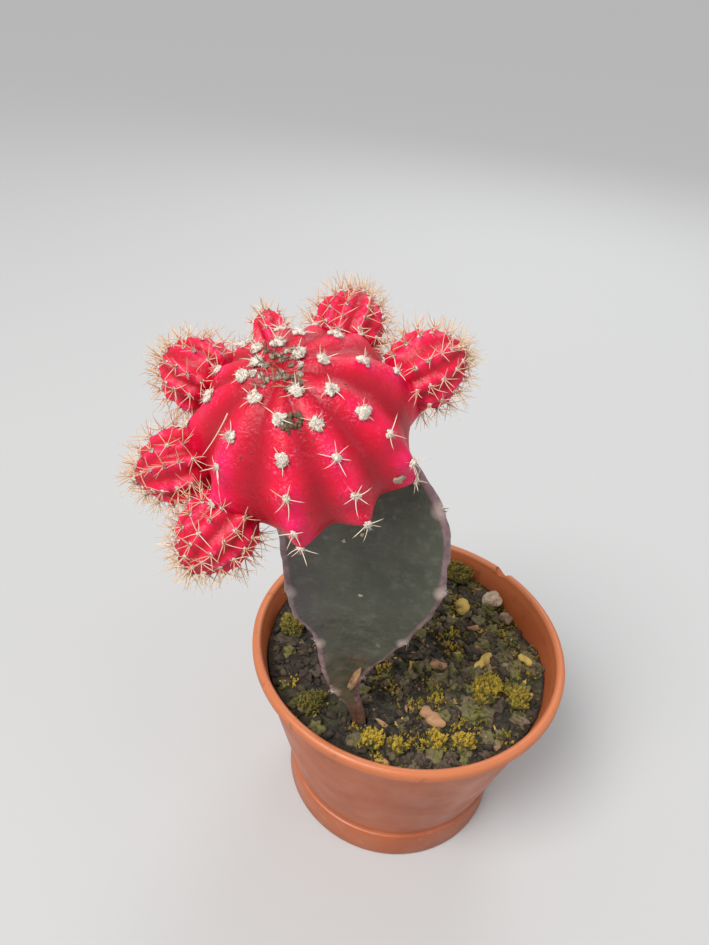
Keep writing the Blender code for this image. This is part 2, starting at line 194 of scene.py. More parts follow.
def combine(tree, first, second):
    """Two amounts multiplied, and kept between 0 and 1."""
    product = tree.nodes.new("ShaderNodeMath")
    product.operation = "MULTIPLY"
    product.use_clamp = True
    plug(tree, first, product.inputs[0])
    plug(tree, second, product.inputs[1])
    return product.outputs[0]


def emboss(tree, shader, height, depth, under=None):
    """Bump of a depth in metres, over another bump if one is given."""
    bump = tree.nodes.new("ShaderNodeBump")
    bump.inputs["Distance"].default_value = depth
    tree.links.new(height, bump.inputs["Height"])
    if under is not None:
        tree.links.new(under, bump.inputs["Normal"])
    tree.links.new(bump.outputs["Normal"], shader.inputs["Normal"])
    return bump.outputs["Normal"]


def along(tree, place, axis):
    """One of the Object coordinates. Along Z it is the height above the floor."""
    axes = tree.nodes.new("ShaderNodeSeparateXYZ")
    tree.links.new(place, axes.inputs[0])
    return axes.outputs[axis]


def settle(piece, slot, material, *replaced):
    """Gives a finished piece its material, its body and the nodes that it stands for."""
    piece.data.materials.clear()
    piece.data.materials.append(material)
    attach(piece, "root")
    if replaced:
        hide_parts(*replaced)


pot_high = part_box("pot")[1]
POT_RADIUS = pot_high.x
POT_HEIGHT = pot_high.z
POT_SIDES = 144
LIP_ROUND = 0.0010
FOOT_HEIGHT = 0.0080
FOOT_RADIUS = 0.0256

lip_arc = []
for step in range(13):
    turn = math.pi * step / 12
    lip_arc.append((
        POT_RADIUS - LIP_ROUND + LIP_ROUND * math.cos(turn),
        POT_HEIGHT - LIP_ROUND + LIP_ROUND * math.sin(turn)))
pot_outline = [
    (FOOT_RADIUS - 0.0006, 0.0), (FOOT_RADIUS - 0.0002, 0.0002), (FOOT_RADIUS, 0.0006),
    (FOOT_RADIUS, FOOT_HEIGHT - 0.0007), (FOOT_RADIUS - 0.0001, FOOT_HEIGHT - 0.0002),
    (FOOT_RADIUS - 0.0004, FOOT_HEIGHT), (FOOT_RADIUS - 0.0006, FOOT_HEIGHT + 0.0005),
    (0.0270, 0.0165), (0.0292, 0.0258), (0.0314, 0.0350), (0.0335, 0.0444), (0.0336, 0.0448),
    (0.0338, 0.0450), (0.0345, 0.0450), (0.0348, 0.0451), (0.0350, 0.0453),
] + lip_arc + [
    (0.0330, 0.0458), (0.0327, 0.0450), (0.0303, 0.0350), (0.0279, 0.0250), (0.0255, 0.0150),
    (0.0241, 0.0084), (0.0241, 0.0022), (0.0238, 0.0015), (0.0231, 0.0012),
]
deselect_all()
bpy.ops.mesh.primitive_circle_add(
    vertices=POT_SIDES, radius=pot_outline[0][0], fill_type="NGON", location=(0.0, 0.0, 0.0))
pot = bpy.context.object
pot.name = "nursery_pot"
bpy.ops.object.mode_set(mode="EDIT")
bpy.ops.mesh.select_all(action="SELECT")
for (radius, height), (next_radius, next_height) in zip(pot_outline, pot_outline[1:]):
    bpy.ops.mesh.extrude_region_move(TRANSFORM_OT_translate={"value": (0.0, 0.0, next_height - height)})
    ratio = next_radius / radius
    bpy.ops.transform.resize(value=(ratio, ratio, 1.0), center_override=(0.0, 0.0, 0.0))
bpy.ops.mesh.select_all(action="SELECT")
bpy.ops.mesh.normals_make_consistent(inside=False)
bpy.ops.object.mode_set(mode="OBJECT")


def cut_away(piece, cutter):
    """Cuts the cutter out of the piece and removes the cutter."""
    boolean = piece.modifiers.new("cut", "BOOLEAN")
    boolean.operation = "DIFFERENCE"
    boolean.object = cutter
    deselect_all()
    piece.select_set(True)
    bpy.context.view_layer.objects.active = piece
    bpy.ops.object.modifier_apply(modifier="cut")
    bpy.data.objects.remove(cutter)


DRAIN_CIRCLE = 0.0150
DRAIN_RADIUS = 0.0025
for corner in range(4):
    turn = math.tau * (corner + 0.5) / 4
    deselect_all()
    bpy.ops.mesh.primitive_cylinder_add(
        vertices=32, radius=DRAIN_RADIUS, depth=0.008,
        location=(DRAIN_CIRCLE * math.cos(turn), DRAIN_CIRCLE * math.sin(turn), 0.0))
    cut_away(pot, bpy.context.object)

BITE_AT = math.radians(44.4)
BITE_REACH = POT_RADIUS - 0.0004
bite_place = (BITE_REACH * math.cos(BITE_AT), BITE_REACH * math.sin(BITE_AT), POT_HEIGHT + 0.0002)
deselect_all()
bpy.ops.mesh.primitive_ico_sphere_add(subdivisions=3, radius=0.0021, location=bite_place)
bite = bpy.context.object
for vertex in bite.data.vertices:
    vertex.co *= 1.0 + 0.30 * noise.noise(vertex.co * 900.0)
cut_away(pot, bite)
deselect_all()
pot.select_set(True)
bpy.context.view_layer.objects.active = pot
bpy.ops.object.shade_smooth_by_angle(angle=math.radians(32))

TERRACOTTA = (0.430, 0.110, 0.034)
LIP_PAINTED_HIGHLIGHT = (0.560, 0.175, 0.065)
TERRACOTTA_DARK = (0.340, 0.078, 0.026)
SOIL_STAIN = (0.10, 0.055, 0.030)
plastic, tree, shader, place = start_finish("terracotta_plastic", 0.42)
z = along(tree, place, "Z")
hue = tint(tree, cloud(tree, place, 55.0, 0.35, 0.68), TERRACOTTA, TERRACOTTA_DARK)
# Painted highlight: the lip band, 44 to 47 mm up, is paler as if lit from above.
hue = tint(tree, combine(tree, spread(tree, z, 0.0440, 0.0470), 0.75), hue, LIP_PAINTED_HIGHLIGHT)
dust = combine(tree, cloud(tree, place, 420.0, 0.55, 0.75, 6.0), spread(tree, z, 0.016, 0.004, 0.05, 0.30))
hue = tint(tree, dust, hue, (0.50, 0.30, 0.20))
splash = combine(tree, cloud(tree, place, 330.0, 0.62, 0.70, 5.0), spread(tree, z, 0.028, 0.044, 0.0, 0.40))
hue = tint(tree, splash, hue, SOIL_STAIN)
plug(tree, hue, shader.inputs["Base Color"])
scuffs = cloud(tree, place, 130.0, 0.3, 0.7, 5.0)
plug(tree, spread(tree, scuffs, 0.0, 1.0, 0.34, 0.56), shader.inputs["Roughness"])
grain = emboss(tree, shader, cloud(tree, place, 1600.0, 0.2, 0.8, 2.0), 0.000012)
emboss(tree, shader, cloud(tree, place, 60.0, 0.2, 0.8, 1.0), 0.00012, grain)
shader.inputs["Subsurface Weight"].default_value = 0.06
shader.inputs["Subsurface Scale"].default_value = 0.002
settle(pot, "pot_plastic", plastic, "pot")


# ---------------------------------------------------------------------------------------------
# Potting mix: dark damp peat with crumbs, bark fines and fibres, pressed round the stem and
# sunken at the back right. The bed keeps the frame's shape, and the loose crumbs lie on it.
def own_copy(node, name):
    """A merged copy of a frame node's mesh, as a piece of its own."""
    mesh = nodes[node].data.copy()
    piece = bpy.data.objects.new(name, mesh)
    bpy.context.scene.collection.objects.link(piece)
    mesh.materials.clear()
    form = bmesh.new()
    form.from_mesh(mesh)
    bmesh.ops.remove_doubles(form, verts=form.verts, dist=0.00001)
    form.to_mesh(mesh)
    form.free()
    deselect_all()
    piece.select_set(True)
    bpy.context.view_layer.objects.active = piece
    return piece


MIX_FLOOR = 0.034
bed = own_copy("potting_mix", "mix_bed")
bpy.ops.object.mode_set(mode="EDIT")
bpy.ops.mesh.select_all(action="DESELECT")
bpy.ops.object.mode_set(mode="OBJECT")
for face in bed.data.polygons:
    face.select = face.normal.z > 0.35 and face.center.z > MIX_FLOOR
bpy.ops.object.mode_set(mode="EDIT")
bpy.ops.mesh.subdivide(number_cuts=4)
bpy.ops.mesh.quads_convert_to_tris()
bpy.ops.object.mode_set(mode="OBJECT")
bed_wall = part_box("potting_mix")[1].x
for vertex in bed.data.vertices:
    spot = vertex.co
    if spot.z > MIX_FLOOR:
        clods = noise.noise(Vector((spot.x, spot.y, 0.0)) * 420.0)
        crumbs = noise.noise(Vector((spot.x, spot.y, 0.002)) * 1150.0)
        edge = min(1.0, max(0.0, (bed_wall - math.hypot(spot.x, spot.y)) / 0.002))
        spot.z += (0.00045 * clods + 0.00025 * crumbs) * edge
bpy.ops.object.shade_smooth()

PEAT = (0.022, 0.017, 0.012)
PEAT_PALE = (0.085, 0.062, 0.040)
PEAT_GREEN = (0.060, 0.066, 0.022)
peat, tree, shader, place = start_finish("damp_peat", 0.92)
hue = tint(tree, cloud(tree, place, 750.0, 0.45, 0.75, 6.0), PEAT, PEAT_PALE)
hue = tint(tree, cloud(tree, place, 130.0, 0.52, 0.70, 4.0), hue, PEAT_GREEN)
plug(tree, hue, shader.inputs["Base Color"])
emboss(tree, shader, cloud(tree, place, 1500.0, 0.25, 0.75, 6.0), 0.0004)
settle(bed, "mix", peat, "potting_mix")


def store(mesh, name, values):
    """A number for each point of a mesh, which its material can read by name."""
    mesh.attributes.new(name, "FLOAT", "POINT").data.foreach_set("value", values)


def gather(name, patterns, copies):
    """One mesh of many copies. Each copy is a pattern's number, its place and its shade."""
    points, faces, shades, rises = [], [], [], []
    count = 0
    for number, matrix, shade in copies:
        corners, sides = patterns[number]
        grid = np.array(matrix.to_3x3()) @ corners.T
        points.append(grid.T + np.array(matrix.translation))
        faces.extend([tuple(index + count for index in side) for side in sides])
        shades.append(np.full(len(corners), shade))
        rises.append(corners[:, 2])
        count += len(corners)
    mesh = bpy.data.meshes.new(name)
    mesh.from_pydata(np.concatenate(points).tolist(), [], faces)
    store(mesh, "shade", np.concatenate(shades))
    store(mesh, "rise", np.concatenate(rises))
    piece = bpy.data.objects.new(name, mesh)
    bpy.context.scene.collection.objects.link(piece)
    mesh.shade_smooth()
    return piece


def as_pattern(piece):
    """The points and faces of a modelled piece, which is then removed."""
    corners = np.array([vertex.co[:] for vertex in piece.data.vertices])
    sides = [tuple(face.vertices) for face in piece.data.polygons]
    bpy.data.objects.remove(piece)
    return corners, sides


def lump_pattern(subdivisions, stretch, ruggedness, seed):
    """An irregular lump of unit size."""
    deselect_all()
    bpy.ops.mesh.primitive_ico_sphere_add(subdivisions=subdivisions, radius=1.0)
    lump = bpy.context.object
    for vertex in lump.data.vertices:
        swell = 1.0 + ruggedness * noise.noise(vertex.co * 1.6 + Vector((seed * 7.3, 0.0, 0.0)))
        vertex.co = Vector([part * scale for part, scale in zip(vertex.co, stretch)]) * swell
    return as_pattern(lump)


def attribute(tree, name):
    reader = tree.nodes.new("ShaderNodeAttribute")
    reader.attribute_name = name
    return reader.outputs["Fac"]


def skin_tree(piece):
    """A piece's surface, for ray casts."""
    return BVHTree.FromPolygons(
        [vertex.co.copy() for vertex in piece.data.vertices],
        [tuple(face.vertices) for face in piece.data.polygons])


bed_tree = skin_tree(bed)


def on_the_mix(x, y):
    """The point of the mix under x and y, or None."""
    return bed_tree.ray_cast(Vector((x, y, POT_HEIGHT)), Vector((0.0, 0.0, -1.0)), 0.02)[0]


draw = random.Random(11)


def chance_spot(rim, start=0.0, end=math.tau):
    """A random point of the mix, or None, and its distance from the pot's axis."""
    reach = rim * math.sqrt(draw.random())
    turn = draw.uniform(start, end)
    return on_the_mix(reach * math.cos(turn), reach * math.sin(turn)), reach


def chance_turn(lean, axis):
    """A random turn about Z after a random lean, up to an angle, about another axis."""
    spin = Matrix.Rotation(draw.uniform(0, math.tau), 4, "Z")
    return spin @ Matrix.Rotation(draw.uniform(-lean, lean), 4, axis)


CRUMB_RISE = 0.25  # how far a crumb's middle lies above the bed, as a share of its size
crumb_patterns = [
    lump_pattern(2, (1.0, 0.8, 0.7), 0.8, 1), lump_pattern(2, (1.0, 0.65, 0.5), 0.9, 2),
    lump_pattern(1, (1.0, 0.7, 0.6), 0.6, 3), lump_pattern(1, (1.0, 0.35, 0.3), 0.5, 4),
]
CRUMBS = 1500
crumbs = []
while len(crumbs) < CRUMBS:
    spot, reach = chance_spot(bed_wall)
    size = draw.choice((0.00035, 0.0005, 0.0005, 0.0007, 0.0011))
    if spot is None or reach > bed_wall - size:
        continue
    middle = spot + Vector((0.0, 0.0, size * CRUMB_RISE))
    matrix = Matrix.Translation(middle) @ chance_turn(0.6, "X") @ Matrix.Scale(size, 4)
    crumbs.append((draw.randrange(4), matrix, draw.random()))
loose_crumbs = gather("mix_crumbs", crumb_patterns, crumbs)
crumb_finish, tree, shader, place = start_finish("mix_crumb", 0.9)
shade = attribute(tree, "shade")
hue = tint(tree, spread(tree, shade, 0.35, 0.95), PEAT, (0.105, 0.066, 0.036))
hue = tint(tree, spread(tree, shade, 0.93, 0.97), hue, (0.30, 0.20, 0.10))
hue = tint(tree, combine(tree, cloud(tree, place, 900.0, 0.4, 0.7), 0.6), hue, PEAT_PALE)
plug(tree, hue, shader.inputs["Base Color"])
emboss(tree, shader, cloud(tree, place, 2400.0, 0.2, 0.8, 4.0), 0.0002)
settle(loose_crumbs, "mix", crumb_finish)


# ---------------------------------------------------------------------------------------------
# Clods: larger crumbs of the mix, grey brown to olive where moss has started on them. They lie
# thickest on the open right side of the pot, half sunk in the bed.
clod_patterns = [
    lump_pattern(3, (1.0, 0.85, 0.65), 1.0, 5), lump_pattern(3, (1.0, 0.7, 0.55), 1.1, 6),
    lump_pattern(3, (1.0, 0.9, 0.75), 0.9, 7),
]
CLODS = 230
STEM_FOOT = Vector((-0.0096, -0.0193, 0.0))
clods = []
while len(clods) < CLODS:
    spot, reach = chance_spot(bed_wall)
    size = draw.uniform(0.0008, 0.0022)
    if spot is None or reach > bed_wall - size or math.hypot(*(spot - STEM_FOOT).xy) < 0.0035:
        continue
    if spot.x < 0.0 and draw.random() < 0.6:
        continue
    matrix = Matrix.Translation(spot) @ chance_turn(0.5, "X") @ Matrix.Scale(size, 4)
    clods.append((draw.randrange(3), matrix, draw.random()))
mix_clods = gather("mix_clods", clod_patterns, clods)
clod_finish, tree, shader, place = start_finish("mix_clod", 0.92)
shade = attribute(tree, "shade")
hue = tint(tree, spread(tree, shade, 0.1, 0.9), (0.060, 0.044, 0.030), (0.200, 0.145, 0.095))
green = combine(tree, cloud(tree, place, 210.0, 0.42, 0.62, 4.0), spread(tree, shade, 0.35, 0.55))
hue = tint(tree, green, hue, (0.170, 0.165, 0.040))
hue = tint(tree, cloud(tree, place, 1100.0, 0.50, 0.75, 5.0), hue, (0.020, 0.015, 0.010))
plug(tree, hue, shader.inputs["Base Color"])
emboss(tree, shader, cloud(tree, place, 1300.0, 0.2, 0.8, 6.0), 0.0005)
settle(mix_clods, "mix", clod_finish)


# ---------------------------------------------------------------------------------------------
# Moss: low cushions of a yellow-green moss, each a dark lump closely covered with short leafy
# shoots that are ochre at their tips, and single shoots scattered over the mix between them.
def stand(spot, way, spin, width, height):
    """A pattern's place: its Z along the way given, turned by spin, at two scales."""
    turn = way.to_track_quat("Z", "Y").to_matrix().to_4x4() @ Matrix.Rotation(spin, 4, "Z")
    return Matrix.Translation(spot) @ turn @ Matrix.Diagonal((width, width, height, 1.0))


def shoot_pattern(leaves, spread_angle, seed):
    """A moss shoot of unit height: small pointed leaves set round a short stalk."""
    chance = random.Random(seed)
    deselect_all()
    for leaf in range(leaves):
        rise = 0.85 * leaf / leaves
        bearing = 2.4 * leaf + chance.uniform(-0.4, 0.4)
        lean = spread_angle * (1.0 - 0.55 * rise)
        middle = Vector((math.sin(lean) * math.cos(bearing), math.sin(lean) * math.sin(bearing), 0.0)) * 0.26
        bpy.ops.mesh.primitive_cone_add(
            vertices=3, radius1=0.13, depth=0.62,
            location=(middle.x, middle.y, rise + 0.24 * math.cos(lean)), rotation=(0.0, lean, bearing))
        bpy.context.object.name = f"moss_leaf_{leaf}"
    for item in bpy.data.objects:
        item.select_set(item.name.startswith("moss_leaf_"))
    bpy.ops.object.join()
    bpy.ops.object.transform_apply(location=True, rotation=True, scale=True)
    return as_pattern(bpy.context.object)


def rough_copy(node, name, cuts, swell, scale, seed):
    """A frame node's shape with a finer, rougher surface."""
    piece = own_copy(node, name)
    bpy.ops.object.mode_set(mode="EDIT")
    bpy.ops.mesh.select_all(action="SELECT")
    bpy.ops.mesh.subdivide(number_cuts=cuts, smoothness=0.6)
    bpy.ops.object.mode_set(mode="OBJECT")
    floor_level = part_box(node)[0].z
    places = []
    for vertex in piece.data.vertices:
        lift = swell * noise.noise(vertex.co * scale + Vector((seed * 3.7, 0.0, 0.0)))
        spot = vertex.co + vertex.normal * lift
        places.extend((spot.x, spot.y, max(spot.z, floor_level)))
    piece.data.vertices.foreach_set("co", places)
    piece.data.update()
    bpy.ops.object.shade_smooth()
    return piece


shoot_patterns = [shoot_pattern(9, 0.9, 1), shoot_pattern(8, 1.1, 2), shoot_pattern(7, 0.7, 3)]
moss_finish, tree, shader, place = start_finish("moss_shoots", 0.75)
shade = attribute(tree, "shade")
rise = attribute(tree, "rise")
hue = tint(tree, spread(tree, shade, 0.0, 0.5), (0.060, 0.070, 0.016), (0.230, 0.205, 0.030))
hue = tint(tree, spread(tree, shade, 0.5, 0.9), hue, (0.700, 0.470, 0.040))
hue = tint(tree, spread(tree, rise, 0.1, 0.9, 0.40, 0.0), hue, (0.050, 0.045, 0.012))
hue = tint(tree, combine(tree, cloud(tree, place, 600.0, 0.5, 0.7), 0.5), hue, (0.200, 0.120, 0.030))
plug(tree, hue, shader.inputs["Base Color"])
shader.inputs["Subsurface Weight"].default_value = 0.15
shader.inputs["Subsurface Scale"].default_value = 0.0004
lump_finish, tree, shader, place = start_finish("moss_lump", 0.95)
plug(tree, tint(tree, cloud(tree, place, 900.0, 0.4, 0.7, 4.0), (0.050, 0.050, 0.014), (0.160, 0.130, 0.026)),
     shader.inputs["Base Color"])
emboss(tree, shader, cloud(tree, place, 1800.0, 0.2, 0.8, 4.0), 0.0004)

MOSS_CUSHIONS = (  # node, and how yellow its shoots are
    ("moss_front_left", 0.95), ("moss_front", 0.72), ("moss_front_right", 0.92),
    ("moss_front_far_right", 0.80), ("moss_right", 0.72), ("moss_right_wall", 0.66),
    ("moss_back", 0.45), ("moss_left", 0.48), ("moss_left_front", 0.30),
)
shoots = []
for number, (node, yellow) in enumerate(MOSS_CUSHIONS):
    cushion = rough_copy(node, f"{node}_lump", 3, 0.0009, 900.0, number)
    settle(cushion, "moss", lump_finish, node)
    surface = skin_tree(cushion)
    low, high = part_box(node)
    count = int((high.x - low.x) * (high.y - low.y) * 5.5e6) + 30
    for _ in range(count):
        above = Vector((draw.uniform(low.x, high.x), draw.uniform(low.y, high.y), high.z + 0.002))
        spot, normal = surface.ray_cast(above, Vector((0.0, 0.0, -1.0)))[:2]
        if spot is None:
            continue
        way = (normal + Vector((draw.uniform(-0.5, 0.5), draw.uniform(-0.5, 0.5), 0.5))).normalized()
        size = draw.uniform(0.0007, 0.0012)
        shade = min(1.0, max(0.0, draw.gauss(yellow, 0.14)))
        shoots.append((draw.randrange(3), stand(spot, way, draw.uniform(0, math.tau), size, size), shade))
settle(gather("moss_cushion_shoots", shoot_patterns, shoots), "moss", moss_finish)

LOOSE_SHOOTS = 1900
shoots = []
while len(shoots) < LOOSE_SHOOTS:
    spot = chance_spot(bed_wall - 0.0006)[0]
    if spot is None:
        continue
    patch = noise.noise(Vector((spot.x, spot.y, 0.003)) * 190.0)
    thick = patch + 0.30 * min(1.0, max(-1.0, spot.x / 0.018)) + (0.12 if spot.y < -0.02 else 0.0)
    if draw.random() > 2.2 * thick + 0.10:
        continue
    way = Vector((draw.uniform(-0.7, 0.7), draw.uniform(-0.7, 0.7), 1.0)).normalized()
    size = draw.uniform(0.0006, 0.0012)
    shade = min(1.0, max(0.05, draw.gauss(0.42 + 0.9 * patch, 0.20)))
    shoots.append((draw.randrange(3), stand(spot, way, draw.uniform(0, math.tau), size, size), shade))
settle(gather("moss_loose_shoots", shoot_patterns, shoots), "moss", moss_finish)


# ---------------------------------------------------------------------------------------------
# Bark chips and husks: dry flakes from the mix, straw yellow to pinkish tan, ridged along their
# grain and curled, lying loose on top.
def flake_finish(name, pale, dark, stretch):
    """Dry bark: long grain lines of a dark and a pale colour."""
    material, tree, shader, place = start_finish(name, 0.82)
    lay = tree.nodes.new("ShaderNodeMapping")
    lay.inputs["Scale"].default_value = stretch
    tree.links.new(place, lay.inputs["Vector"])
    grain = cloud(tree, lay.outputs["Vector"], 420.0, 0.30, 0.72, 5.0)
    hue = tint(tree, grain, dark, pale)
    hue = tint(tree, cloud(tree, place, 380.0, 0.58, 0.75), hue, (0.060, 0.040, 0.024))
    plug(tree, hue, shader.inputs["Base Color"])
    emboss(tree, shader, grain, 0.0003)
    return material


STRAW = flake_finish("straw_husk", (0.62, 0.43, 0.10), (0.34, 0.21, 0.05), (1.0, 0.25, 1.0))
TAN = flake_finish("tan_bark", (0.52, 0.30, 0.15), (0.27, 0.13, 0.06), (0.3, 1.0, 1.0))
FLAKES = (
    ("bark_chip_front", TAN), ("bark_chip_middle", TAN), ("bark_chip_back", STRAW),
    ("husk_curl", STRAW), ("husk_right", STRAW),
)
for number, (node, finish) in enumerate(FLAKES):
    settle(rough_copy(node, f"{node}_flake", 4, 0.0006, 700.0, number + 20), "bark", finish, node)

straw_patterns = [
    lump_pattern(2, (1.0, 0.40, 0.34), 1.0, 41), lump_pattern(2, (1.0, 0.30, 0.28), 1.1, 42)]
STRAW_BITS = 46
bits = []
while len(bits) < STRAW_BITS:
    spot = chance_spot(bed_wall - 0.0018, -2.2, 1.2)[0]
    if spot is None or math.hypot(*(spot - STEM_FOOT).xy) < 0.004:
        continue
    size = draw.uniform(0.0007, 0.0015)
    middle = spot + Vector((0.0, 0.0, size * CRUMB_RISE))
    matrix = Matrix.Translation(middle) @ chance_turn(0.35, "Y") @ Matrix.Scale(size, 4)
    bits.append((draw.randrange(2), matrix, draw.random()))
settle(gather("straw_bits", straw_patterns, bits[::2]), "bark", STRAW)
settle(gather("tan_bits", straw_patterns, bits[1::2]), "bark", TAN)

STONE_HUES = {"stone_pale": (0.58, 0.43, 0.31), "stone_tan": (0.44, 0.30, 0.19)}
for number, (node, pale) in enumerate(STONE_HUES.items()):
    stone, tree, shader, place = start_finish(f"{node}_grit", 0.8)
    hue = tint(tree, cloud(tree, place, 500.0, 0.35, 0.7, 5.0), pale, tuple(part * 0.45 for part in pale))
    hue = tint(tree, cloud(tree, place, 1700.0, 0.6, 0.7), hue, (0.10, 0.07, 0.05))
    plug(tree, hue, shader.inputs["Base Color"])
    emboss(tree, shader, cloud(tree, place, 900.0, 0.2, 0.8, 6.0), 0.0003)
    settle(rough_copy(node, f"{node}_pebble", 3, 0.0008, 600.0, number + 30), "gravel", stone, node)


# ---------------------------------------------------------------------------------------------
# Rootstock: a young three-winged cactus stem, dark grey green under a waxy bloom, with corky
# purple margins. It narrows to a woody foot in the mix, and its top was cut to take the scion.
WINGS = (210.0, 330.0, 90.0)
STEM_MIDDLE = (  # height and the middle of the stem there, in millimetres
    (34.0, -9.0, -19.4), (43.0, -9.7, -19.2), (48.0, -12.2, -19.0), (55.0, -13.3, -18.6),
    (75.0, -13.2, -17.7), (109.0, -14.6, -16.1),
)


def stem_middle(height):
    """The middle of the rootstock at a height, from the table."""
    heights, x, y = (np.array(STEM_MIDDLE) * 0.001).T
    return Vector((np.interp(height, heights, x), np.interp(height, heights, y), height))


def wing_way(bearing):
    turn = math.radians(bearing)
    return Vector((math.cos(turn), math.sin(turn), 0.0))


stem = own_copy("rootstock", "rootstock_stem")
bpy.ops.object.mode_set(mode="EDIT")
bpy.ops.mesh.select_all(action="SELECT")
bpy.ops.mesh.tris_convert_to_quads(face_threshold=math.radians(60), shape_threshold=math.radians(60))
bpy.ops.object.mode_set(mode="OBJECT")
rounding = stem.modifiers.new("rounding", "SUBSURF")
rounding.levels = 3
rounding.render_levels = 3
bpy.ops.object.modifier_apply(modifier="rounding")
stem_low, stem_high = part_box("rootstock")
plain_stem = skin_tree(stem)
WING_STEP = 0.001
wing_heights = np.arange(stem_low.z + 0.0005, stem_high.z - 0.0005, WING_STEP)
wing_reach = []
for bearing in WINGS:
    reaches = []
    for height in wing_heights:
        middle = stem_middle(height)
        way = wing_way(bearing)
        hit = plain_stem.ray_cast(middle + way * 0.04, -way, 0.045)[0]
        reaches.append((hit - middle).dot(way) if hit else 0.001)
    wing_reach.append(np.array(reaches))


def wing_tip(wing, height):
    """The point on a wing's margin at a height."""
    return stem_middle(height) + wing_way(WINGS[wing]) * np.interp(height, wing_heights, wing_reach[wing])


MARGIN_AREOLES = (  # wing, and the heights of the areoles on its margin
    (0, (0.0515, 0.0667, 0.0815, 0.0955)),
    (1, (0.0560, 0.0705, 0.0855, 0.1010)),
    (2, (0.0590, 0.0745, 0.0895, 0.1030)),
)
margin_spots = [wing_tip(wing, height) for wing, heights in MARGIN_AREOLES for height in heights]
margins, nears, places = [], [], []
for vertex in stem.data.vertices:
    spot = vertex.co
    middle = stem_middle(spot.z)
    rel = spot - middle
    closeness = 0.0
    for wing, bearing in enumerate(WINGS):
        way = wing_way(bearing)
        across = abs(rel.x * way.y - rel.y * way.x)
        depth = np.interp(spot.z, wing_heights, wing_reach[wing]) - rel.dot(way)
        if rel.dot(way) > 0.0:
            closeness = max(closeness, 1.0 - max(0.0, depth) / 0.0008 - max(0.0, across - 0.0012) / 0.002)
    margin = max(0.0, min(1.0, closeness))
    near = max(math.exp(-(((spot - tip).length / 0.0019) ** 2)) for tip in margin_spots)
    fade = min(1.0, max(0.0, (spot.z - 0.047) / 0.01))
    swell = 0.00042 * noise.noise(spot * 120.0) * (1.0 - margin) + 0.00016 * noise.noise(spot * 420.0)
    swell += margin * (0.00012 + 0.00022 * noise.noise(spot * 700.0)) + 0.00035 * near
    places.extend(spot + vertex.normal * swell * fade)
    margins.append(margin)
    nears.append(near)
stem.data.vertices.foreach_set("co", places)
stem.data.update()
store(stem.data, "margin", margins)
store(stem.data, "near_areole", nears)
bpy.ops.object.shade_smooth()

skin, tree, shader, place = start_finish("rootstock_skin", 0.50)
z = along(tree, place, "Z")
margin = attribute(tree, "margin")
hue = tint(tree, cloud(tree, place, 95.0, 0.35, 0.66, 4.0, 0.6), (0.046, 0.052, 0.032), (0.080, 0.084, 0.054))
left = spread(tree, along(tree, place, "X"), -0.016, -0.024)
purple = combine(tree, left, cloud(tree, place, 140.0, 0.30, 0.60, 3.0))
hue = tint(tree, combine(tree, purple, 0.75), hue, (0.080, 0.062, 0.070))
hue = tint(tree, spread(tree, z, 0.060, 0.050, 0.0, 0.5), hue, (0.100, 0.120, 0.060))
bloom = cloud(tree, place, 520.0, 0.50, 0.72, 6.0, 0.7)
hue = tint(tree, combine(tree, bloom, 0.50), hue, (0.175, 0.175, 0.145))
dots = tree.nodes.new("ShaderNodeTexVoronoi")
dots.inputs["Scale"].default_value = 210.0
tree.links.new(place, dots.inputs["Vector"])
speck = spread(tree, dots.outputs["Distance"], 0.15, 0.08)
speck = combine(tree, speck, cloud(tree, place, 130.0, 0.50, 0.60))
hue = tint(tree, combine(tree, speck, 0.7), hue, (0.330, 0.300, 0.240))
cork = combine(tree, cloud(tree, place, 170.0, 0.50, 0.62, 5.0), spread(tree, z, 0.066, 0.052))
hue = tint(tree, combine(tree, cork, 0.8), hue, (0.190, 0.092, 0.058))
edge = tint(tree, cloud(tree, place, 480.0, 0.35, 0.68, 4.0), (0.300, 0.180, 0.190), (0.130, 0.078, 0.080))
hue = tint(tree, spread(tree, margin, 0.15, 0.60), hue, edge)
woody = spread(tree, z, 0.0490, 0.0455)
bark = tint(tree, cloud(tree, place, 600.0, 0.35, 0.7, 5.0), (0.20, 0.100, 0.070), (0.085, 0.045, 0.032))
hue = tint(tree, woody, hue, bark)
hue = tint(tree, spread(tree, attribute(tree, "near_areole"), 0.35, 0.85), hue, (0.420, 0.330, 0.300))
plug(tree, hue, shader.inputs["Base Color"])
plug(tree, spread(tree, bloom, 0.0, 1.0, 0.42, 0.72), shader.inputs["Roughness"])
fine = emboss(tree, shader, cloud(tree, place, 1500.0, 0.25, 0.75, 3.0), 0.00006)
wrinkles = cloud(tree, place, 800.0, 0.30, 0.70, 5.0)
wrinkles = combine(tree, wrinkles, spread(tree, margin, 0.1, 0.8, 0.25, 1.0))
emboss(tree, shader, wrinkles, 0.00022, fine)
shader.inputs["Subsurface Weight"].default_value = 0.08
shader.inputs["Subsurface Scale"].default_value = 0.0015
settle(stem, "rootstock_skin", skin, "rootstock")


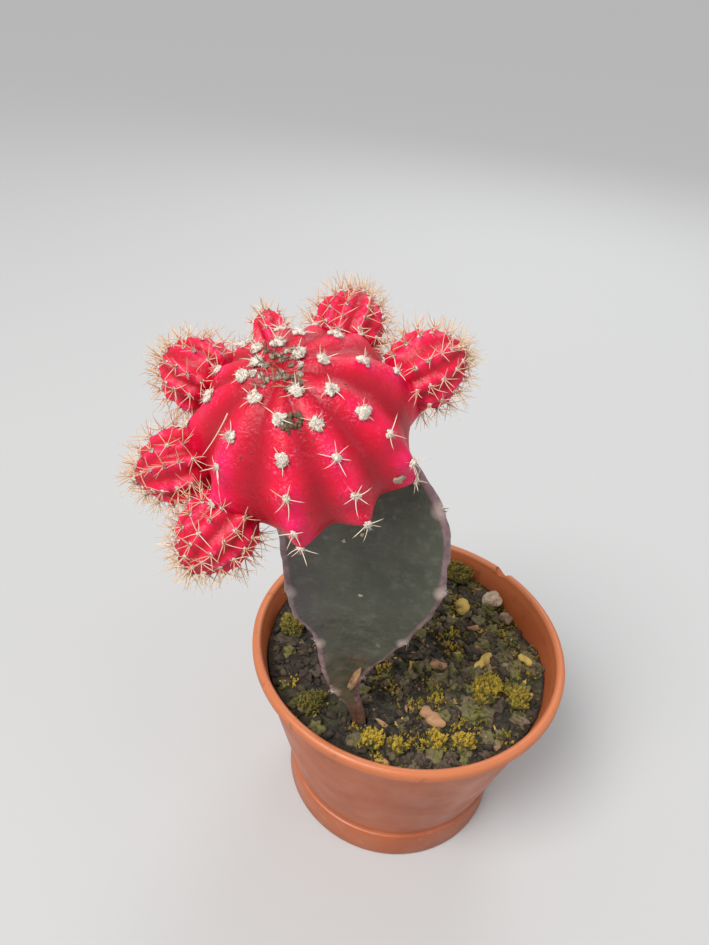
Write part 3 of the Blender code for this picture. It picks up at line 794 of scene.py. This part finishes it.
# ---------------------------------------------------------------------------------------------
# Scion: the grafted globe, without green of its own, so that it shows the crimson of its flesh.
# It has eleven broad ribs, each a row of chinned bumps that carry the woolly areoles.
SCION_MIDDLE = Vector((-0.0230, -0.0225, 0.1118))
SCION_AXIS = Vector((-0.218, -0.369, 0.904)).normalized()
SCION_RADIUS = 0.0160
SCION_POLE = 0.0138
SCION_BASE = 0.0095
RIB_DEPTH = 0.0008
RIBS = (  # azimuth, and the polar angles of its areoles, in degrees
    (4, (29, 48, 64, 83, 98)), (47, (22, 44, 64, 83, 99)), (84, (13, 43, 65, 86)), (110, (32, 57, 80)),
    (131, (21, 44)), (160, (24, 42, 57, 78)), (186, (15, 50, 75)), (213, (21, 46, 71, 92)),
    (259, (21, 43, 60, 80, 96)), (301, (29, 48, 66, 83, 95)), (332, (17, 36, 55, 74, 93)),
)


def axis_frame(axis):
    """Axes whose Z is the given one and whose X lies level."""
    level = Vector((0.0, 0.0, 1.0)).cross(axis).normalized()
    return Matrix((level, axis.cross(level), axis)).transposed()


def bearing_ways(azimuths, polars):
    """Unit directions, one row each, from angles in radians."""
    level = np.sin(polars)
    return np.stack((level * np.cos(azimuths), level * np.sin(azimuths), np.cos(polars)), axis=1)


def ribbed_globe(name, middle, axis, size, ribs, grid, rib_depth, bump_of):
    """A ribbed globe with a bump at each areole, its areoles' ways and its skin for ray casts."""
    radius, pole, base = size
    deselect_all()
    bpy.ops.mesh.primitive_uv_sphere_add(segments=grid[0], ring_count=grid[1], radius=1.0)
    globe = bpy.context.object
    globe.name = name
    points = np.empty(len(globe.data.vertices) * 3)
    globe.data.vertices.foreach_get("co", points)
    points = points.reshape(-1, 3)
    polars = np.arccos(np.clip(points[:, 2], -1.0, 1.0))
    count = len(ribs)
    turns = (np.arctan2(points[:, 1], points[:, 0]) / math.tau * count) % count
    starts = np.array([rib[0] for rib in ribs], float)
    gaps = (np.roll(starts, -1) - starts) % 360.0
    index = np.floor(turns).astype(int) % count
    azimuths = np.radians(starts[index] + gaps[index] * (turns - np.floor(turns)))
    offsets = np.abs(turns - np.round(turns)) * 2
    crests = 0.5 + 0.5 * np.cos(math.pi * offsets ** 1.25)
    ways = bearing_ways(azimuths, polars)
    heights = np.where(polars < math.pi / 2, pole, base)
    reach = 1 / np.hypot(np.sin(polars) / radius, np.cos(polars) / heights)
    fade = np.sin(polars) ** 0.7
    reach -= fade * rib_depth * (1 - crests)
    areoles = [(math.radians(rib[0]), math.radians(polar)) for rib in ribs for polar in rib[1]]
    seats = bearing_ways(np.array([row[0] for row in areoles]), np.array([row[1] for row in areoles]))
    nearness = np.zeros(len(points))
    for seat, (_, polar) in zip(seats, areoles):
        height, width = bump_of(polar)
        spans = np.linalg.norm(ways - seat, axis=1) * radius
        below = polars - polar
        chin = np.where(below > 0.0, 1.0 + 0.35 * np.clip(below * radius / width, 0.0, 1.0), 1.0)
        reach += height * np.exp(-((spans / (width * chin)) ** 2))
        nearness = np.maximum(nearness, np.exp(-((spans / (width * 0.9)) ** 2)))
    frame_axes = axis_frame(axis)
    lumps = np.array([noise.noise(Vector(way) * 3.1) for way in ways])
    reach += 0.018 * radius * lumps * fade
    places = (ways * reach[:, None]) @ np.array(frame_axes).T + np.array(middle)
    globe.data.vertices.foreach_set("co", places.ravel())
    globe.data.update()
    store(globe.data, "crest", crests * fade)
    store(globe.data, "near_areole", nearness)
    globe.data.shade_smooth()
    skin = skin_tree(globe)
    spots = []
    for seat, (_, polar) in zip(seats, areoles):
        way = frame_axes @ Vector(seat)
        spot, normal, _, _ = skin.ray_cast(middle + way * radius * 2.0, -way)
        spots.append((spot, normal, polar))
    return globe, spots


def scion_bump(polar):
    """How far an areole's seat stands out, and how wide it is."""
    low = min(1.0, max(0.0, (polar - 0.9) / 0.6))
    return 0.0006 + 0.0013 * low, 0.0027 - 0.0010 * low


scion, scion_areoles = ribbed_globe(
    "scion_globe", SCION_MIDDLE, SCION_AXIS, (SCION_RADIUS, SCION_POLE, SCION_BASE), RIBS, (308, 150),
    RIB_DEPTH, scion_bump)


def crimson_finish(name, groove_shade_and_mottle, flesh, crest_highlight, grain_hue, scale):
    """Waxy crimson skin: painted shade between the ribs, a painted pink highlight along the crests that is
    strongest about the areoles, and a fine grain about the areoles.
    """
    material, tree, shader, place = start_finish(name, 0.40)
    crest = attribute(tree, "crest")
    near = attribute(tree, "near_areole")
    # Painted shade: the skin darkens towards the first colour between the ribs, where the crest value falls;
    # the same dark colour also gives a random mottle.
    hue = tint(tree, spread(tree, crest, 0.0, 0.75), groove_shade_and_mottle, flesh)
    hue = tint(tree, combine(tree, cloud(tree, place, 130.0 * scale, 0.42, 0.70, 4.0), 0.35), hue, groove_shade_and_mottle)
    # Painted highlight: the crests turn pinker, more so near the areoles.
    crest_light_mask = combine(tree, spread(tree, crest, 0.55, 1.0), cloud(tree, place, 100.0 * scale, 0.36, 0.62, 3.0))
    crest_light_mask = combine(tree, crest_light_mask, spread(tree, near, 0.0, 0.6, 0.35, 0.9))
    hue = tint(tree, crest_light_mask, hue, crest_highlight)
    speckle = cloud(tree, place, 2600.0, 0.52, 0.66, 2.0, 0.6)
    mottle = combine(tree, spread(tree, near, 0.12, 0.65), cloud(tree, place, 300.0, 0.42, 0.64, 3.0))
    hue = tint(tree, combine(tree, combine(tree, speckle, mottle), 0.5), hue, grain_hue)
    plug(tree, hue, shader.inputs["Base Color"])
    sheen = cloud(tree, place, 420.0, 0.3, 0.7, 4.0)
    plug(tree, spread(tree, sheen, 0.0, 1.0, 0.36, 0.52), shader.inputs["Roughness"])
    fine = emboss(tree, shader, cloud(tree, place, 2200.0, 0.25, 0.75, 3.0), 0.00005)
    emboss(tree, shader, cloud(tree, place, 420.0, 0.25, 0.75, 4.0), 0.00014, fine)
    shader.inputs["Specular IOR Level"].default_value = 0.35
    shader.inputs["Subsurface Weight"].default_value = 0.12
    shader.inputs["Subsurface Radius"].default_value = (1.0, 0.10, 0.16)
    shader.inputs["Subsurface Scale"].default_value = 0.0012
    return material


# The first colour is painted shade between the ribs, the third a painted highlight on the crests.
crimson = crimson_finish(
    "scion_skin", (0.380, 0.0008, 0.014), (0.680, 0.0008, 0.030), (0.800, 0.006, 0.120),
    (0.900, 0.220, 0.400), 1.0)
settle(scion, "scion_skin", crimson, "scion")


# ---------------------------------------------------------------------------------------------
# Areoles of the scion: felted cream wool in tufts on the bumps, smaller low down, each with a few
# short curved spines. The crown is a dried grey-brown mat of wool, spines and peat crumbs.
def spine_pattern(bend, sides=4):
    """A tapered spine of unit length, curving to one side."""
    deselect_all()
    bpy.ops.mesh.primitive_circle_add(vertices=sides, radius=0.030, fill_type="NGON")
    spine = bpy.context.object
    bpy.ops.object.mode_set(mode="EDIT")
    bpy.ops.mesh.select_all(action="SELECT")
    steps = 5
    for step in range(1, steps + 1):
        aside = bend * ((step / steps) ** 2 - ((step - 1) / steps) ** 2)
        shrink = 0.86 if step < steps else 0.12
        bpy.ops.mesh.extrude_region_move(TRANSFORM_OT_translate={"value": (aside, 0.0, 1.0 / steps)})
        bpy.ops.transform.resize(
            value=(shrink, shrink, 1.0), center_override=(bend * (step / steps) ** 2, 0.0, step / steps))
    bpy.ops.mesh.select_all(action="SELECT")
    bpy.ops.mesh.normals_make_consistent(inside=False)
    bpy.ops.object.mode_set(mode="OBJECT")
    return as_pattern(spine)


spine_patterns = [spine_pattern(0.05), spine_pattern(0.16), spine_pattern(0.30)]
hair_patterns = [spine_pattern(0.25, 3), spine_pattern(0.6, 3)]
HAIR_WIDTH = 0.0011  # a hair's radius at its foot is 3% of this
wool_patterns = [
    lump_pattern(2, (1.0, 0.9, 0.75), 0.9, 11), lump_pattern(2, (1.0, 0.75, 0.6), 1.0, 12),
    lump_pattern(2, (0.9, 1.0, 0.85), 0.8, 13),
]


def tangent_way(normal, bearing, lift):
    """A way that leans out from the normal: a lift of 0 lies flat and 1 stands up."""
    side = normal.orthogonal().normalized()
    around = normal.cross(side)
    flat = side * math.cos(bearing) + around * math.sin(bearing)
    return (flat * (1.0 - lift) + normal * lift).normalized()


def wool_tuft(spot, normal, width, shade, lumps, hairs):
    """Places for one tuft: small lumps of wool crowded together, with loose hairs about them."""
    for number in range(lumps):
        out = 0.0 if number == 0 else draw.uniform(0.35, 0.75) * width
        size = width * (0.75 if number == 0 else draw.uniform(0.28, 0.48))
        way = tangent_way(normal, draw.uniform(0, math.tau), 0.0)
        at = spot + way * out + normal * (size * 0.30)
        wool_lumps.append((
            draw.randrange(3), stand(at, normal, draw.uniform(0, math.tau), size, size * 0.8),
            min(1.0, max(0.0, shade + draw.uniform(-0.12, 0.12)))))
    for number in range(hairs):
        way = tangent_way(normal, draw.uniform(0, math.tau), draw.uniform(0.05, 0.9))
        length = width * draw.uniform(0.8, 1.5)
        wool_hairs.append((
            draw.randrange(2),
            stand(spot + normal * width * 0.15, way, draw.uniform(0, math.tau), HAIR_WIDTH, length),
            min(1.0, max(0.0, shade + draw.uniform(-0.1, 0.1)))))


def spine_star(spot, normal, count, length, lift, shade, thickness=0.0030):
    """Places for the spines of one areole, spread round it like a star."""
    start = draw.uniform(0, math.tau)
    for number in range(count):
        bearing = start + math.tau * number / count + draw.uniform(-0.35, 0.35)
        way = tangent_way(normal, bearing, draw.uniform(*lift))
        reach = length * draw.uniform(0.7, 1.15)
        turn = draw.uniform(0, math.tau)
        spines.append((
            draw.randrange(3), stand(spot + normal * 0.0001, way, turn, thickness, reach),
            min(1.0, max(0.0, shade + draw.uniform(-0.2, 0.2)))))


wool_lumps, wool_hairs, spines = [], [], []
for spot, normal, polar in scion_areoles:
    high = polar < math.radians(52)
    width = draw.uniform(0.00098, 0.00118) if high else draw.uniform(0.00060, 0.00078)
    wool_tuft(spot, normal, width, 0.88, 9 if high else 6, 34 if high else 20)
    if high:
        spine_star(spot, normal, draw.randrange(2, 5), 0.0024, (0.10, 0.45), 0.75, 0.0032)
    else:
        spine_star(spot, normal, draw.randrange(4, 7), 0.0027, (0.12, 0.50), 0.85)


def on_the_scion(azimuth, polar):
    """The scion's surface and its normal at two angles about its axis, in degrees."""
    way = axis_frame(SCION_AXIS) @ Vector(bearing_ways(
        np.array([math.radians(azimuth)]), np.array([math.radians(polar)]))[0])
    return scion_surface.ray_cast(SCION_MIDDLE + way * 0.04, -way)[:2]


scion_surface = skin_tree(scion)
CROWN_TUFTS = 36
for number in range(CROWN_TUFTS):
    azimuth = draw.uniform(0, 360)
    polar = 17.0 * math.sqrt(draw.random())
    spot, normal = on_the_scion(azimuth, polar)
    shade = draw.choice((0.20, 0.32, 0.40, 0.55, 0.85))
    wool_tuft(spot, normal, draw.uniform(0.0004, 0.0007), shade, 5, 20)
    if number % 2:
        spine_star(spot, normal, 2, 0.0022, (0.3, 0.9), 0.15, 0.0030)
PEAT_SPECKS = (  # azimuth and polar angle on the scion, in degrees, then the size in millimetres
    (308, 31, 1.15), (313, 33, 1.0), (306, 34, 0.85), (323, 30, 1.1), (320, 37, 0.40), (326, 44, 0.35),
    (322, 49, 0.22), (289, 70, 0.45), (307, 79, 0.35), (322, 74, 0.40), (270, 52, 0.25), (300, 86, 0.30),
    (20, 34, 0.30), (341, 10, 0.5), (300, 14, 0.6), (250, 8, 0.5), (100, 9, 0.5),
)
specks = []
for azimuth, polar, size in PEAT_SPECKS:
    for part in range(11 if size > 0.6 else 3):
        spot, normal = on_the_scion(azimuth + draw.gauss(0.0, 2.6), polar + draw.gauss(0.0, 1.3))
        scale = size * 0.001 * draw.uniform(0.22, 0.48)
        specks.append((
            draw.randrange(4),
            stand(spot + normal * scale * 0.3, normal, draw.uniform(0, math.tau), scale, scale),
            draw.uniform(0.80, 0.97)))
peat_finish, tree, shader, place = start_finish("peat_on_the_scion", 0.95)
hue = tint(tree, cloud(tree, place, 1500.0, 0.3, 0.7, 3.0), (0.060, 0.040, 0.022), (0.210, 0.145, 0.085))
plug(tree, hue, shader.inputs["Base Color"])
settle(gather("peat_on_the_scion", crumb_patterns, specks), "mix", peat_finish)

LONG_SPINE = ((246, 36), (246, 66))  # azimuth and polar angle of its foot, and of where it points
spot, normal = on_the_scion(*LONG_SPINE[0])
end, _ = on_the_scion(*LONG_SPINE[1])
spines.append((2, stand(spot + normal * 0.0006, (end - spot).normalized(), 2.4, 0.0040, 0.0088), 1.0))

SCAB = (357, 90)
spot, normal = on_the_scion(*SCAB)
wool_lumps.append((0, stand(spot, normal, 0.4, 0.0009, 0.0005), 0.45))


# ---------------------------------------------------------------------------------------------
# Offsets: young globes budding from the scion's flanks, the same plant in small. They are set
# close with little bumps, each with straw-coloured spines that stand out as a halo.
OFFSETS = (  # node, azimuth, polar angle, distance from the scion's middle, radius and pole in mm
    ("offset_left_upper", 180, 78, 20.4, 5.3, 5.5),
    ("offset_left_middle", 221, 92, 20.2, 5.3, 5.8),
    ("offset_left_lower", 258, 99, 19.6, 5.1, 5.8),
    ("offset_back", 101, 80, 19.6, 5.0, 5.2),
    ("offset_right", 59, 87, 20.9, 5.3, 5.6),
    ("offset_small", 139, 67, 16.5, 2.3, 3.2),
)
OFFSET_REACH = 0.00096  # metres for a millimetre: 4% closer than the frame's solids, grown together
OFFSET_RIB_DEPTH = 0.00022
OFFSET_BUMP = (0.00062, 0.00072)  # height and width of an areole's seat
# The first colour is painted shade between the ribs, the third a painted highlight on the crests.
coral = crimson_finish(
    "offset_skin", (0.460, 0.0016, 0.020), (0.700, 0.0030, 0.045), (0.820, 0.026, 0.150),
    (0.900, 0.340, 0.420), 2.0)
for node, azimuth, polar, distance, radius, pole in OFFSETS:
    outward = axis_frame(SCION_AXIS) @ Vector(bearing_ways(
        np.array([math.radians(azimuth)]), np.array([math.radians(polar)]))[0])
    middle = SCION_MIDDLE + outward * distance * OFFSET_REACH
    small = radius < 3.0
    rib_count = 6 if small else 11
    step = 26.0 if small else 20.5
    ribs = [
        (360.0 * rib / rib_count + draw.uniform(-5, 5), [
            10 + step * (0.5 if rib % 2 else 0.0) + step * place_on_rib + draw.uniform(-3, 3)
            for place_on_rib in range(6)])
        for rib in range(rib_count)]
    size = (radius * 0.00104, pole * 0.00104, pole * 0.00108)
    globe, areoles = ribbed_globe(
        f"{node}_globe", middle, outward, size, ribs, (rib_count * 14, 76), OFFSET_RIB_DEPTH,
        lambda polar_angle: OFFSET_BUMP)
    settle(globe, "offset_skin", coral, node)
    for spot, normal, areole_polar in areoles:
        if (spot - SCION_MIDDLE).length < SCION_RADIUS * 0.98:
            continue
        wool_tuft(spot, normal, draw.uniform(0.00036, 0.00046), 0.85, 3, 6)
        if small:
            spine_star(spot, normal, 4, 0.0018, (0.25, 0.7), 0.6, 0.0030)
        else:
            spine_star(spot, normal, draw.randrange(5, 8), 0.0030, (0.25, 0.85), 0.62, 0.0027)
    if small:
        tip, normal = middle + outward * pole * 0.00095, outward
        wool_tuft(tip, normal, 0.0009, 0.50, 7, 20)
        spine_star(tip, normal, 16, 0.0036, (0.45, 0.95), 0.48, 0.0058)

for spot in margin_spots:
    normal = (spot - stem_middle(spot.z)).normalized()
    wool_tuft(spot, normal, 0.00062, 0.95, 5, 14)
    spine_star(spot, normal, 3, 0.0014, (0.4, 0.8), 0.10, 0.0030)

FACE_DOTS = ((-0.0162, 0.0931), (-0.0133, 0.0946), (-0.0126, 0.0816))  # x and height, on the front face
stem_surface = skin_tree(stem)
for x, height in FACE_DOTS:
    spot, normal, _, _ = stem_surface.ray_cast(Vector((x, -0.05, height)), Vector((0.0, 1.0, 0.0)))
    if spot is not None:
        wool_lumps.append((1, stand(spot, normal, draw.uniform(0, 3), 0.00042, 0.00020), 0.62))

DRIED_END = ((-0.0131, 0.0521), (-0.0109, 0.0596))  # x and height of the two ends of a dried sliver
ends = [
    stem_surface.ray_cast(Vector((x, -0.05, height)), Vector((0.0, 1.0, 0.0)))[0] for x, height in DRIED_END]
if None not in ends:
    way = (ends[1] - ends[0]).normalized()
    reach = (ends[1] - ends[0]).length / 2
    middle = (ends[0] + ends[1]) / 2 - Vector((0.0, 0.0004, 0.0))
    sliver = [lump_pattern(2, (0.26, 0.20, 1.0), 0.8, 43)]
    settle(gather("dried_end", sliver, [(0, stand(middle, way, 0.3, reach, reach), 0.5)]), "bark", TAN)

wool_finish, tree, shader, place = start_finish("areole_wool", 0.95)
shade = attribute(tree, "shade")
hue = tint(tree, spread(tree, shade, 0.0, 0.4), (0.100, 0.070, 0.044), (0.400, 0.300, 0.190))
hue = tint(tree, spread(tree, shade, 0.4, 0.85), hue, (0.920, 0.820, 0.700))
hue = tint(tree, combine(tree, cloud(tree, place, 2200.0, 0.54, 0.74, 3.0), 0.35), hue, (0.640, 0.440, 0.340))
plug(tree, hue, shader.inputs["Base Color"])
emboss(tree, shader, cloud(tree, place, 3200.0, 0.25, 0.75, 3.0), 0.0003)
shader.inputs["Sheen Weight"].default_value = 0.3
settle(gather("areole_wool", wool_patterns, wool_lumps), "wool", wool_finish)
settle(gather("areole_hairs", hair_patterns, wool_hairs), "wool", wool_finish)

spine_finish, tree, shader, place = start_finish("spines", 0.45)
shade = attribute(tree, "shade")
rise = attribute(tree, "rise")
hue = tint(tree, spread(tree, shade, 0.05, 0.5), (0.110, 0.055, 0.030), (0.700, 0.500, 0.280))
hue = tint(tree, spread(tree, shade, 0.5, 0.9), hue, (0.880, 0.740, 0.600))
hue = tint(tree, spread(tree, rise, 0.35, 0.0, 0.0, 0.45), hue, (0.640, 0.160, 0.140))
hue = tint(tree, spread(tree, rise, 0.75, 1.0, 0.0, 0.5), hue, (0.420, 0.210, 0.120))
plug(tree, hue, shader.inputs["Base Color"])
shader.inputs["Subsurface Weight"].default_value = 0.1
shader.inputs["Subsurface Scale"].default_value = 0.0003
settle(gather("spines", spine_patterns, spines), "spines", spine_finish)
